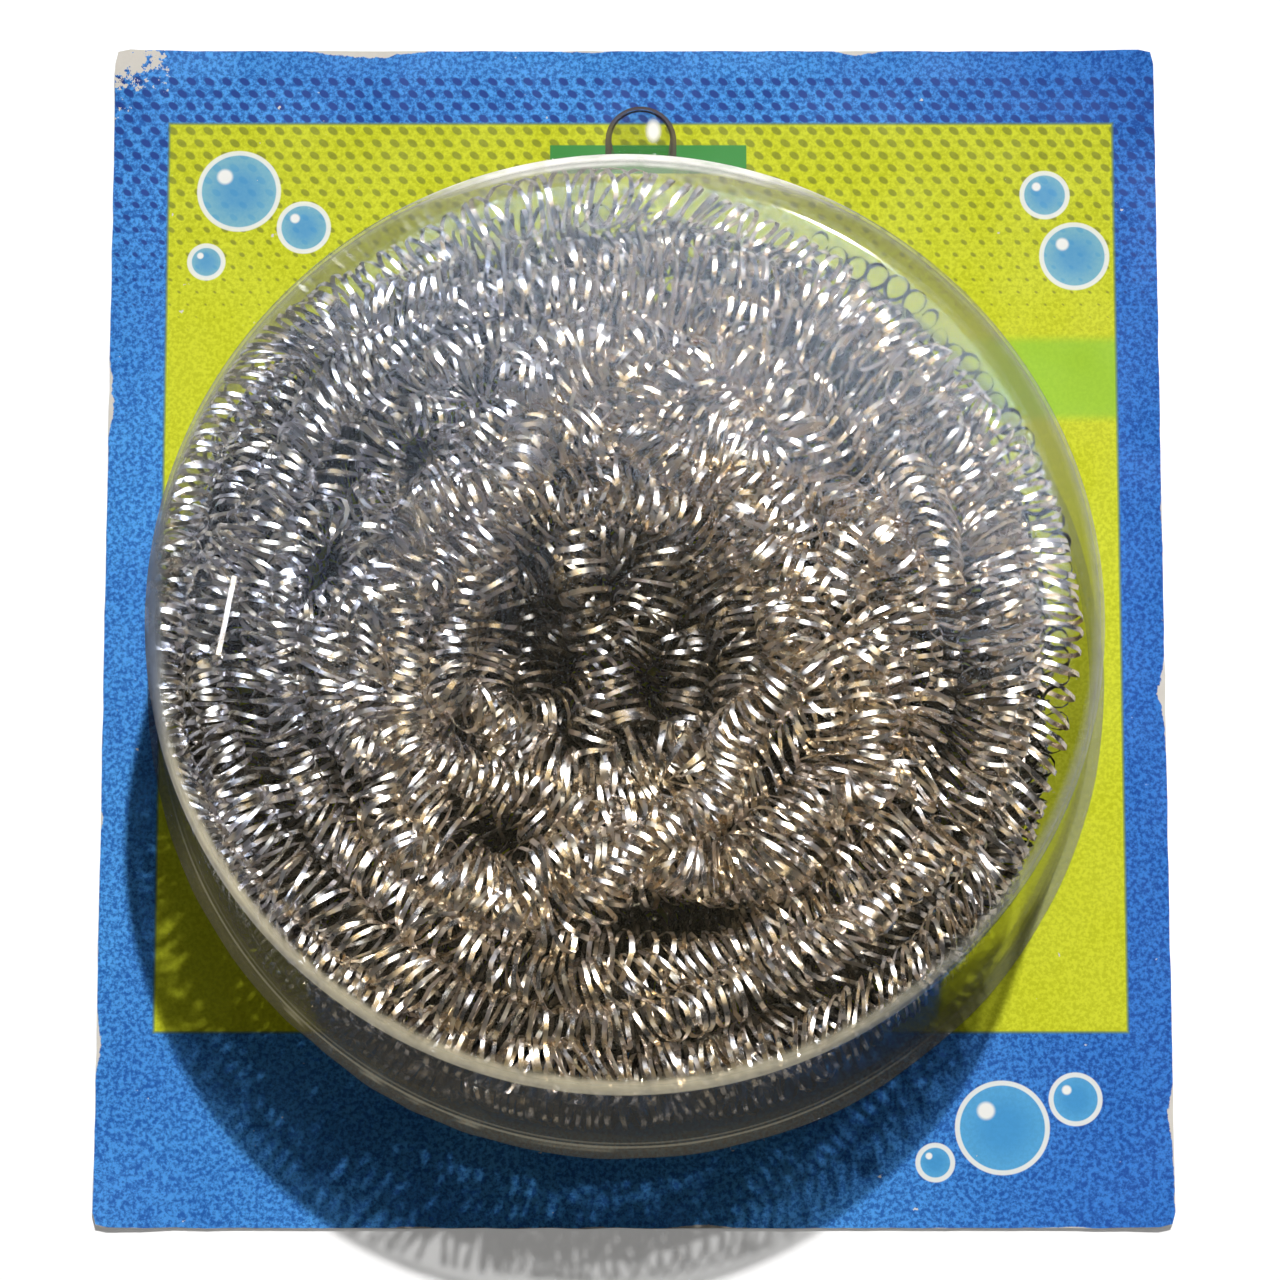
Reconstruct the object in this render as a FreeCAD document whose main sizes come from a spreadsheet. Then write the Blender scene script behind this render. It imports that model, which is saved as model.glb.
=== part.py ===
"""Carded pot scrubber: six coiled steel strands under a clear cover on a printed card.

Millimetres. The origin is the middle of the card's back face, +Z points out of the
cover's face and +Y points to the card's top edge.
"""
import FreeCAD, Part
import Sketcher
import math
import os

from FreeCAD import Vector

# Driving sizes, each written once. Lengths are in mm, angles in degrees, the rest are counts.
SIZES = {
    # coiled strands of the scrubber
    "curl_width": 13.2,
    "curl_height": 16.9,
    "wire_diameter": 1.1,
    "strand_gap": 0.4,
    "core_radius": 3.7,
    "outer_curls": 24,
    "middle_curls": 16,
    "inner_curls": 8,
    "open_angle": 10.0,
    # clear cover
    "packing_clearance": 0.4,
    "cover_wall": 0.35,
    "cover_draft": 1.5,
    "shoulder_radius": 3.5,
    "flange_width": 1.35,
    # half-round lug in the cover's wall
    "lug_radius": 3.4,
    "lug_reach": 3.9,
    "lug_drop": 4.6,
    "lug_offset": 1.5,
    # card, measured outwards from the cover's flange
    "card_thickness": 0.5,
    "card_left_margin": 4.3,
    "card_right_margin": 6.0,
    "card_bottom_margin": 6.6,
    "card_top_margin": 17.8,
    "card_corner_radius": 0.8,
}

# Sizes that follow from the driving ones. Each formula may use the lines above it.
FITS = {
    "ring_step": "Sizes.curl_width + Sizes.strand_gap",
    "layer_step": "Sizes.curl_height + Sizes.strand_gap",
    "curl_reach": "(Sizes.curl_width - Sizes.wire_diameter) / 2",
    "curl_rise": "(Sizes.curl_height - Sizes.wire_diameter) / 2",
    "inner_ring_radius": "Sizes.core_radius + Sizes.curl_width / 2",
    "middle_ring_radius": "inner_ring_radius + ring_step",
    "outer_ring_radius": "middle_ring_radius + ring_step",
    "lower_height": "Sizes.card_thickness + Sizes.packing_clearance + Sizes.curl_height / 2",
    "upper_height": "lower_height + layer_step",
    "cavity_depth": "layer_step + Sizes.curl_height + 2 * Sizes.packing_clearance",
    "cavity_face_radius": "outer_ring_radius + Sizes.curl_width / 2 + Sizes.packing_clearance",
    "cavity_base_radius": "cavity_face_radius + Sizes.cover_draft",
    "cover_depth": "cavity_depth + Sizes.cover_wall",
    "face_radius": "cavity_face_radius + Sizes.cover_wall",
    "base_radius": "cavity_base_radius + Sizes.cover_wall",
    "outer_shoulder_radius": "Sizes.shoulder_radius + Sizes.cover_wall",
    "flange_radius": "base_radius + Sizes.flange_width",
    "lug_height": "cover_depth - Sizes.lug_drop",
    "lug_root": "cavity_face_radius - Sizes.lug_reach",
    "lug_centre": "base_radius + Sizes.lug_reach - Sizes.lug_radius",
    "lug_flange_radius": "Sizes.lug_radius + Sizes.flange_width",
    "lug_cavity_radius": "Sizes.lug_radius - Sizes.cover_wall",
    "lug_cavity_height": "lug_height - Sizes.cover_wall",
    "card_half_width": "flange_radius + (Sizes.card_left_margin + Sizes.card_right_margin) / 2",
    "card_half_height": "flange_radius + (Sizes.card_bottom_margin + Sizes.card_top_margin) / 2",
    "cover_x": "(Sizes.card_left_margin - Sizes.card_right_margin) / 2",
    "cover_y": "(Sizes.card_bottom_margin - Sizes.card_top_margin) / 2",
}

LAYERS = {"lower": 1, "upper": -1}
STATIONS_PER_CURL = 4
SAMPLES_PER_ARC = 5
LEAST_SELF_GAP = 0.4
VOLUME_TOLERANCE = 0.02
MATCH = 1e-4
ROOT_POINT = (-1, 1)


def fill_sheet(doc, name, rows, lead):
    """Sheet with one named cell for each row."""
    sheet = doc.addObject("Spreadsheet::Sheet", name)
    for row, (alias, content) in enumerate(rows.items(), start=1):
        sheet.set(f"A{row}", alias)
        sheet.set(f"B{row}", f"{lead}{content}")
        sheet.setAlias(f"B{row}", alias)
    doc.recompute()
    return sheet


def new_body(doc, name):
    body = doc.addObject("PartDesign::Body", name)
    body.Label = name
    return body


def new_sketch(body, name, role):
    """Sketch on one of the body's own origin planes."""
    plane = next(item for item in body.Origin.OriginFeatures if item.Role == role)
    sketch = body.newObject("Sketcher::SketchObject", name)
    sketch.AttachmentSupport = [(plane, "")]
    sketch.MapMode = "FlatFace"
    return sketch


def bind(sketch, kind, place, formula):
    """Constraint of this kind at place that follows a formula of the sheets."""
    value = float(sketch.evalExpression(formula))
    index = sketch.addConstraint(Sketcher.Constraint(kind, *place, value))
    sketch.setExpression(f"Constraints[{index}]", formula)


def place_corner(sketch, line, formulas):
    """Hold the start of a line at its two formulas. A formula of 0 lies on the axis."""
    upright_axis, level_axis = -2, -1
    for kind, axis, formula in zip(("DistanceX", "DistanceY"), (upright_axis, level_axis), formulas):
        if formula == "0":
            sketch.addConstraint(Sketcher.Constraint("PointOnObject", line, 1, axis))
        else:
            bind(sketch, kind, (*ROOT_POINT, line, 1), formula)


def straight_outline(sketch, corners):
    """Closed outline of straight lines through corners that are given as formulas."""
    points = [Vector(*(float(sketch.evalExpression(text)) for text in corner), 0) for corner in corners]
    count = len(points)
    for line, start in enumerate(points):
        sketch.addGeometry(Part.LineSegment(start, points[(line + 1) % count]))
    for line in range(count):
        sketch.addConstraint(Sketcher.Constraint("Coincident", line, 2, (line + 1) % count, 1))
    for line, corner in enumerate(corners):
        place_corner(sketch, line, corner)


def round_corner(sketch, line, formula):
    """Round the outline's corner at the start of this line."""
    arc = sketch.GeometryCount
    sketch.fillet(line, 1, float(sketch.evalExpression(formula)), True, True)
    bind(sketch, "Radius", (arc,), formula)


def half_round_outline(sketch, radius):
    """Outline of the lug in plan: two straight sides closed by a half circle of this radius."""
    centre_x, centre_y, root, size = (
        float(sketch.evalExpression(text))
        for text in ("Sizes.lug_offset", "Fits.lug_centre", "Fits.lug_root", radius)
    )
    left, right = centre_x - size, centre_x + size
    circle = Part.Circle(Vector(centre_x, centre_y, 0), Vector(0, 0, 1), size)
    right_side = sketch.addGeometry(Part.LineSegment(Vector(right, root, 0), Vector(right, centre_y, 0)))
    cap = sketch.addGeometry(Part.ArcOfCircle(circle, 0, math.pi))
    left_side = sketch.addGeometry(Part.LineSegment(Vector(left, centre_y, 0), Vector(left, root, 0)))
    foot = sketch.addGeometry(Part.LineSegment(Vector(left, root, 0), Vector(right, root, 0)))
    for relation in (
        ("Tangent", right_side, 2, cap, 1),
        ("Tangent", cap, 2, left_side, 1),
        ("Coincident", left_side, 2, foot, 1),
        ("Coincident", foot, 2, right_side, 1),
        ("Vertical", right_side),
        ("Vertical", left_side),
        ("Horizontal", foot),
    ):
        sketch.addConstraint(Sketcher.Constraint(*relation))
    bind(sketch, "Radius", (cap,), radius)
    bind(sketch, "DistanceX", (*ROOT_POINT, cap, 3), "Sizes.lug_offset")
    bind(sketch, "DistanceY", (*ROOT_POINT, cap, 3), "Fits.lug_centre")
    bind(sketch, "DistanceY", (*ROOT_POINT, foot, 1), "Fits.lug_root")


def pad(body, name, sketch, formula):
    feature = body.newObject("PartDesign::Pad", name)
    feature.Profile = sketch
    feature.setExpression("Length", formula)
    body.Document.recompute()
    return feature


def turned(body, kind, name, sketch):
    """Full turn of a sketch about the body's upright axis, added or cut."""
    feature = body.newObject(kind, name)
    feature.Profile = sketch
    feature.ReferenceAxis = (sketch, ["V_Axis"])
    feature.Angle = 360
    body.Document.recompute()
    return feature


def require_cut(feature, before):
    if feature.Shape.Volume > before.Shape.Volume - MATCH:
        raise RuntimeError(f"{feature.Label} cuts nothing")


def make_card(doc):
    """Flat card with small round corners."""
    body = new_body(doc, "backing_card")
    outline = new_sketch(body, "card_outline", "XY_Plane")
    across, along = "Fits.card_half_width", "Fits.card_half_height"
    straight_outline(outline, [
        (f"-{across}", f"-{along}"),
        (across, f"-{along}"),
        (across, along),
        (f"-{across}", along),
    ])
    for line in range(4):
        round_corner(outline, line, "Sizes.card_corner_radius")
    pad(body, "card_sheet", outline, "Sizes.card_thickness")
    return body


def make_cover(doc):
    """Thin formed cup with a drafted wall, a flange and a small half-round lug."""
    body = new_body(doc, "blister_cover")
    for axis, formula in (("x", "Fits.cover_x"), ("y", "Fits.cover_y"), ("z", "Sizes.card_thickness")):
        body.setExpression(f"Placement.Base.{axis}", formula)

    profile = new_sketch(body, "cup_profile", "XZ_Plane")
    straight_outline(profile, [
        ("0", "0"),
        ("Fits.flange_radius", "0"),
        ("Fits.flange_radius", "Sizes.cover_wall"),
        ("Fits.base_radius", "Sizes.cover_wall"),
        ("Fits.face_radius", "Fits.cover_depth"),
        ("0", "Fits.cover_depth"),
    ])
    round_corner(profile, 4, "Fits.outer_shoulder_radius")
    turned(body, "PartDesign::Revolution", "cup", profile)

    lug_outline = new_sketch(body, "lug_outline", "XY_Plane")
    half_round_outline(lug_outline, "Sizes.lug_radius")
    pad(body, "lug", lug_outline, "Fits.lug_height")
    lug_flange_outline = new_sketch(body, "lug_flange_outline", "XY_Plane")
    half_round_outline(lug_flange_outline, "Fits.lug_flange_radius")
    lug_flange = pad(body, "lug_flange", lug_flange_outline, "Sizes.cover_wall")

    cavity_profile = new_sketch(body, "cavity_profile", "XZ_Plane")
    straight_outline(cavity_profile, [
        ("0", "0"),
        ("Fits.cavity_base_radius", "0"),
        ("Fits.cavity_face_radius", "Fits.cavity_depth"),
        ("0", "Fits.cavity_depth"),
    ])
    round_corner(cavity_profile, 2, "Sizes.shoulder_radius")
    cavity = turned(body, "PartDesign::Groove", "cavity", cavity_profile)
    require_cut(cavity, lug_flange)

    lug_cavity_outline = new_sketch(body, "lug_cavity_outline", "XY_Plane")
    half_round_outline(lug_cavity_outline, "Fits.lug_cavity_radius")
    lug_cavity = body.newObject("PartDesign::Pocket", "lug_cavity")
    lug_cavity.Profile = lug_cavity_outline
    lug_cavity.Reversed = True
    lug_cavity.setExpression("Length", "Fits.lug_cavity_height")
    doc.recompute()
    require_cut(lug_cavity, cavity)
    return body


def unit(vector):
    return vector / vector.Length


def arc_middle(start, heading, end):
    """Middle of the arc that leaves start along heading and reaches end."""
    chord = end - start
    along = unit(chord)
    side = unit(heading - along * heading.dot(along))
    return start + chord / 2 + side * (chord.Length / 2 * math.tan(heading.getAngle(chord) / 2))


def biarc(start, start_heading, end, end_heading):
    """Two arcs that meet smoothly and keep the heading at both ends."""
    span = end - start
    headings = start_heading + end_heading
    turn = 2 * (1 - start_heading.dot(end_heading))
    drift = span.dot(headings)
    reach = (math.sqrt(drift ** 2 + turn * span.dot(span)) - drift) / turn
    knee = (start + start_heading * reach + end - end_heading * reach) / 2
    return [
        Part.Arc(start, arc_middle(start, start_heading, knee), knee),
        Part.Arc(knee, arc_middle(end, end_heading * -1, knee), end),
    ]


class CoiledStrand:
    """Open ring of oval wire curls. The share runs from -1/2 at one end to 1/2 at the other."""

    def __init__(self, ring_radius, curl_reach, curl_rise, curls, span, phase, side):
        self.ring_radius = ring_radius
        self.curl_reach = curl_reach
        self.curl_rise = curl_rise
        self.curls = curls
        self.span = span
        self.phase = phase
        self.side = side

    def station(self, share):
        """Point and heading of the wire, in the ring's own frame."""
        angle = math.pi / 2 + self.span * share
        curl_rate = 2 * math.pi * self.curls
        curl = self.phase + curl_rate * share
        radius = self.ring_radius + self.curl_reach * math.cos(curl)
        outward = Vector(math.cos(angle), math.sin(angle), 0)
        onward = Vector(-math.sin(angle), math.cos(angle), 0)
        upward = Vector(0, 0, self.side)
        point = outward * radius + upward * (self.curl_rise * math.sin(curl))
        heading = (
            outward * (-self.curl_reach * math.sin(curl) * curl_rate)
            + onward * (radius * self.span)
            + upward * (self.curl_rise * math.cos(curl) * curl_rate)
        )
        return point, unit(heading)

    def arcs(self):
        """Smooth chain of arcs, one pair for each quarter turn of a curl."""
        count = self.curls * STATIONS_PER_CURL
        stations = [self.station(number / count - 0.5) for number in range(count + 1)]
        return [arc for start, end in zip(stations, stations[1:]) for arc in biarc(*start, *end)]


def least_self_gap(arcs, wire_diameter, curl_length):
    """Least clear distance between lengths of wire that lie at least half a curl apart."""
    points = []
    travelled = 0.0
    for arc in arcs:
        step = arc.length() / SAMPLES_PER_ARC
        for point in arc.toShape().discretize(SAMPLES_PER_ARC + 1)[:-1]:
            points.append((travelled, point.x, point.y, point.z))
            travelled += step
    least = math.inf
    for first, (here, *start) in enumerate(points):
        for there, *end in points[first + 1:]:
            if there - here > curl_length / 2:
                least = min(least, math.dist(start, end))
    return least - wire_diameter


def make_strand(doc, name, strand, base, wire_diameter):
    """Wire swept along a coiled strand whose ring is centred at base."""
    arcs = strand.arcs()
    path = doc.addObject("Part::Feature", f"{name}_path")
    path.Shape = Part.Wire([arc.toShape() for arc in arcs])
    path.Placement = FreeCAD.Placement(base, FreeCAD.Rotation())

    start, heading = strand.station(-0.5)
    section = doc.addObject("Part::Circle", f"{name}_section")
    section.setExpression("Radius", "Sizes.wire_diameter / 2")
    section.Placement = FreeCAD.Placement(base + start, FreeCAD.Rotation(Vector(0, 0, 1), heading))

    sweep = doc.addObject("Part::Sweep", name)
    sweep.Label = name
    sweep.Sections = [section]
    sweep.Spine = (path, [])
    sweep.Solid = True
    sweep.Frenet = False
    doc.recompute()

    length = path.Shape.Length
    expected = math.pi * (wire_diameter / 2) ** 2 * length
    gap = least_self_gap(arcs, wire_diameter, length / strand.curls)
    tightest = min(arc.toShape().Curve.Radius for arc in arcs)
    print(f"{name}: wire {length:.1f} mm, tightest arc {tightest:.2f} mm, least gap to itself {gap:.2f} mm")
    if abs(sweep.Shape.Volume / expected - 1) > VOLUME_TOLERANCE:
        raise RuntimeError(f"{name} holds {sweep.Shape.Volume:.1f} mm3 and not {expected:.1f} mm3")
    if tightest < wire_diameter or gap < LEAST_SELF_GAP:
        raise RuntimeError(f"{name} is wound too tight")
    return sweep


def make_strands(doc, sizes, fits):
    """Two layers of three rings whose curls come closest halfway round."""
    span = math.radians(360 - sizes.open_angle)
    curls = {ring: int(sizes.get(f"{ring}_curls")) for ring in ("outer", "middle", "inner")}
    phases = {
        "outer": math.pi,
        "middle": 0.0,
        "inner": -math.pi * curls["inner"] / curls["middle"],
    }
    strands = []
    for ring, phase in phases.items():
        for layer, side in LAYERS.items():
            strand = CoiledStrand(
                ring_radius=fits.get(f"{ring}_ring_radius"),
                curl_reach=fits.curl_reach,
                curl_rise=fits.curl_rise,
                curls=curls[ring],
                span=span,
                phase=phase,
                side=side,
            )
            base = Vector(fits.cover_x, fits.cover_y, fits.get(f"{layer}_height"))
            strands.append(make_strand(doc, f"{ring}_{layer}_strand", strand, base, sizes.wire_diameter))
    return strands


def check_document(doc, sub_parts):
    """Stop before anything is written if an object failed or a shape is not one sound solid."""
    for item in doc.Objects:
        if {"Invalid", "Error"} & set(item.State):
            raise RuntimeError(f"{item.Label} failed: {item.State}")
    for item in sub_parts:
        shape = item.Shape
        if shape.isNull() or not shape.isValid() or len(shape.Solids) != 1:
            raise RuntimeError(f"{item.Label} is not one sound solid")


def main():
    doc = FreeCAD.newDocument("carded_pot_scrubber")
    sizes = fill_sheet(doc, "Sizes", SIZES, "")
    fits = fill_sheet(doc, "Fits", FITS, "=")
    sub_parts = [make_card(doc), make_cover(doc), *make_strands(doc, sizes, fits)]
    doc.recompute()
    check_document(doc, sub_parts)
    os.makedirs("parts", exist_ok=True)
    for item in sub_parts:
        item.Shape.exportStep(f"parts/{item.Label}.step")
        box = item.Shape.BoundBox
        print(f"{item.Label}: {box.XLength:.2f} x {box.YLength:.2f} x {box.ZLength:.2f} mm, "
              f"{item.Shape.Volume:.1f} mm3")


main()
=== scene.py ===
import math
import random
from typing import NamedTuple

import bmesh
import bpy
from bpy.props import FloatProperty, FloatVectorProperty, IntProperty, PointerProperty
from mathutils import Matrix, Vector, noise


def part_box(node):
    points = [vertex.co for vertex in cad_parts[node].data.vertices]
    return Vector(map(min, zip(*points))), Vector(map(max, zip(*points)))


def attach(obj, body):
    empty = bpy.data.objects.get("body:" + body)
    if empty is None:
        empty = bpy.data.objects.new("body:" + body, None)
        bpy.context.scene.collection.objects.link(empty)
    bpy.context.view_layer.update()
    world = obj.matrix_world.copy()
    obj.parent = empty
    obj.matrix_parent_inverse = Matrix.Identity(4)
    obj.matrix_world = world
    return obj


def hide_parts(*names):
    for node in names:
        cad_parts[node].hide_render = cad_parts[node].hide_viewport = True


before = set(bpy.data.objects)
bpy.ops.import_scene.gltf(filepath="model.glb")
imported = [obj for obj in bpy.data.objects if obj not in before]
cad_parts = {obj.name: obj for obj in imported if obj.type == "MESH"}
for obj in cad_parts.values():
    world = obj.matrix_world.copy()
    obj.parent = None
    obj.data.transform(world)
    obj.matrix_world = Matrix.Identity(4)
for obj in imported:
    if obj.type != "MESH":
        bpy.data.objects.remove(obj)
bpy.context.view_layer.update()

bl_info = {
    "name": "Carded Pot Scrubber",
    "version": (1, 0, 0),
    "blender": (4, 5, 0),
    "location": "View3D > Sidebar > Pot Scrubber",
    "description": "Builds a coiled steel pot scrubber under a clear cover on a printed card",
    "category": "Object",
}

MM = 0.001
CARD_LOW, CARD_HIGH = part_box("backing_card")
COVER_LOW, COVER_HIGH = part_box("blister_cover")
FLANGE_RADIUS = (COVER_HIGH.x - COVER_LOW.x) / 2
# The lug stands out of the round only at the top, so the axis is one flange radius above the bottom.
AXIS = Vector(((COVER_LOW.x + COVER_HIGH.x) / 2, COVER_LOW.y + FLANGE_RADIUS, 0))


def length(name, description, millimetres):
    return FloatProperty(
        name=name, description=description, default=millimetres * MM, unit="LENGTH", precision=5
    )


def colour(name, description, red, green, blue):
    return FloatVectorProperty(
        name=name, description=description, default=(red, green, blue), subtype="COLOR", size=3, min=0, max=1
    )


def strength(name, description, value):
    return FloatProperty(name=name, description=description, default=value, min=0)


class CardSettings(bpy.types.PropertyGroup):
    """Sizes and inks of the printed card."""

    panel_left: length("Panel left margin", "Blue border at the left of the panel", 5.7)
    panel_right: length("Panel right margin", "Blue border at the right of the panel", 4.4)
    panel_top: length("Panel top margin", "Blue border above the panel", 7.8)
    panel_bottom: length("Panel bottom margin", "Blue border below the panel", 19.3)
    dot_width: length("Dot spacing", "Distance between dots in a row", 1.8)
    dot_rise: length("Dot row spacing", "Distance between rows of dots", 1.3)
    blue: colour("Blue ink", "Colour of the border", 0.045, 0.235, 0.68)
    lime: colour("Lime ink", "Colour of the panel", 0.56, 0.62, 0.012)
    paper: colour("Paper", "Colour of the bare board", 0.78, 0.76, 0.72)


class CoverSettings(bpy.types.PropertyGroup):
    """Sizes of the clear formed cover."""

    wall: length("Wall", "Thickness of the clear sheet", 0.35)
    shoulder: length("Shoulder radius", "Rounding between the face and the wall", 3.85)
    draft: length("Draft", "How much wider the foot of the wall is than its top", 1.5)
    flange: length("Flange width", "Width of the rim that lies on the card", 1.35)
    lug_radius: length("Lug radius", "Half width of the half-round lug in the wall", 3.4)
    lug_reach: length("Lug reach", "How far the lug stands out of the wall's foot", 3.9)
    lug_drop: length("Lug drop", "Distance from the cover's face down to the lug's top", 4.6)
    lug_edge: length("Lug edge", "Bevel round the lug's flat top", 0.45)
    lug_offset: length("Lug offset", "Distance of the lug from the cover's middle", 1.5)
    segments: IntProperty(name="Segments", description="Divisions round the cover", default=900, min=32)
    tint: colour("Tint", "Colour of light through the sheet", 0.94, 0.942, 0.94)


class StrandSettings(bpy.types.PropertyGroup):
    """Sizes and finish of the coiled steel ribbon."""

    ribbon_width: length("Ribbon width", "Width of the flat ribbon", 0.46)
    ribbon_thickness: length("Ribbon thickness", "Thickness of the flat ribbon", 0.05)
    coil_radius: length("Coil radius", "Radius of the ribbon's coil", 2.5)
    coil_pitch: length("Coil pitch", "Distance between turns of the coil", 1.3)
    curl_width: length("Strand width", "Width of the bundle that one strand fills", 13.2)
    curl_height: length("Strand height", "Height of the bundle that one strand fills", 16.9)
    steps: IntProperty(name="Steps", description="Divisions in one turn of the coil", default=12, min=6)
    steel: colour("Steel", "Colour of the ribbon", 0.76, 0.675, 0.615)


class StageSettings(bpy.types.PropertyGroup):
    """Floor, light and camera."""

    floor: colour("Floor", "Colour of the floor", 0.92, 0.94, 0.985)
    key_strength: strength("Key light", "Strength of the key light", 3.15)
    fill_strength: strength("Fill", "Strength of the light all round", 0.076)
    halo_strength: strength("Halo", "Glow round the key light in reflections", 8.0)
    sky_strength: strength("Sky", "Brightness of the sky in reflections", 0.05)


class NodeGraph:
    """Short way to write a material's nodes."""

    def __init__(self, tree):
        self.tree = tree
        tree.nodes.clear()

    def node(self, kind):
        return self.tree.nodes.new("ShaderNode" + kind)

    def add(self, kind, inputs=None, output=0, **settings):
        node = self.node(kind)
        for name, value in settings.items():
            setattr(node, name, value)
        for key, value in (inputs or {}).items():
            if isinstance(value, bpy.types.NodeSocket):
                self.tree.links.new(value, node.inputs[key])
            else:
                node.inputs[key].default_value = value
        return node.outputs[output]

    def math(self, operation, first, second=0.0, third=0.0):
        return self.add("Math", {0: first, 1: second, 2: third}, operation=operation)

    def plus(self, first, second):
        return self.math("ADD", first, second)

    def minus(self, first, second):
        return self.math("SUBTRACT", first, second)

    def times(self, first, second):
        return self.math("MULTIPLY", first, second)

    def scale(self, value, factor, added):
        return self.math("MULTIPLY_ADD", value, factor, added)

    def ramp(self, value, low, high, to_low=0.0, to_high=1.0):
        """Smooth step from low to high."""
        inputs = {"Value": value, "From Min": low, "From Max": high, "To Min": to_low, "To Max": to_high}
        return self.add("MapRange", inputs, interpolation_type="SMOOTHSTEP")

    def band(self, value, rise_low, rise_high, fall_low, fall_high):
        """Smooth step up from rise_low to rise_high and back down from fall_high to fall_low."""
        return self.times(self.ramp(value, rise_low, rise_high), self.ramp(value, fall_low, fall_high))

    def away(self, value, middle):
        """Distance from the middle, on either side."""
        return self.math("ABSOLUTE", self.minus(value, middle))

    def either(self, first, second):
        return self.math("MAXIMUM", first, second)

    def noise(self, vector, scale, detail=2.0, roughness=0.5):
        inputs = {"Vector": vector, "Scale": scale, "Detail": detail, "Roughness": roughness}
        return self.add("TexNoise", inputs)

    def split(self, vector):
        return self.add("SeparateXYZ", {0: vector}).node.outputs

    def mix(self, factor, first, second, blend="MIX"):
        inputs = {0: factor, 6: first, 7: second}
        return self.add("Mix", inputs, output=2, data_type="RGBA", blend_type=blend)

    def bump(self, height, distance, strength=1.0):
        return self.add("Bump", {"Height": height, "Distance": distance, "Strength": strength})

    def finish(self, shader, kind="OutputMaterial"):
        self.tree.links.new(shader, self.node(kind).inputs["Surface"])


def new_material(name):
    material = bpy.data.materials.new(name)
    material.use_nodes = True
    return material, NodeGraph(material.node_tree)


def rgba(values):
    return (*values, 1.0)


def start_editing():
    bpy.ops.object.mode_set(mode="EDIT")
    bpy.ops.mesh.select_all(action="SELECT")


def stop_editing():
    bpy.ops.object.mode_set(mode="OBJECT")


def deselect_all():
    if bpy.context.object and bpy.context.object.mode != "OBJECT":
        stop_editing()
    bpy.ops.object.select_all(action="DESELECT")


def make_active(item):
    deselect_all()
    item.select_set(True)
    bpy.context.view_layer.objects.active = item


def apply_modifiers(item):
    make_active(item)
    for modifier in list(item.modifiers):
        bpy.ops.object.modifier_apply(modifier=modifier.name)


def give_thickness(item, name, thickness, offset, angle):
    """Thicken a sheet, and shade it smooth where it turns by less than the angle in degrees."""
    solidify = item.modifiers.new(name, "SOLIDIFY")
    solidify.thickness = thickness
    solidify.offset = offset
    apply_modifiers(item)
    bpy.ops.object.shade_smooth_by_angle(angle=math.radians(angle))


def name_piece(name):
    piece = bpy.context.active_object
    piece.name = name
    piece.data.name = name
    return piece


def declare(piece, body, node, material):
    """Say which body the piece rides on, which node it stands for and what it is made of."""
    piece.data.materials.clear()
    piece.data.materials.append(material)
    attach(piece, body)
    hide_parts(node)


# Round bubbles printed on the card: middle and radius in mm.
BUBBLES = (
    (-40.0, 45.0, 4.0), (-33.4, 41.2, 2.5), (-43.2, 37.6, 1.7), (41.5, 44.6, 2.3), (44.4, 38.2, 3.3),
    (36.0, -50.0, 4.4), (43.2, -47.2, 2.4), (29.4, -53.4, 1.7),
)
# Plain green block printed at the panel's top: middle, half width, lower and upper edge.
BLOCK_MIDDLE, BLOCK_HALF, BLOCK_LOW, BLOCK_TOP = 1.4 * MM, 10.0 * MM, 46.8 * MM, 49.9 * MM
# Paler green band at the panel's right: where it starts and is full, and its height.
BAND_START, BAND_FULL, BAND_MIDDLE = 30.0 * MM, 40.0 * MM, 25.5 * MM
# Sharpness of a printed edge.
PRINT_EDGE = 0.1 * MM


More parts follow.
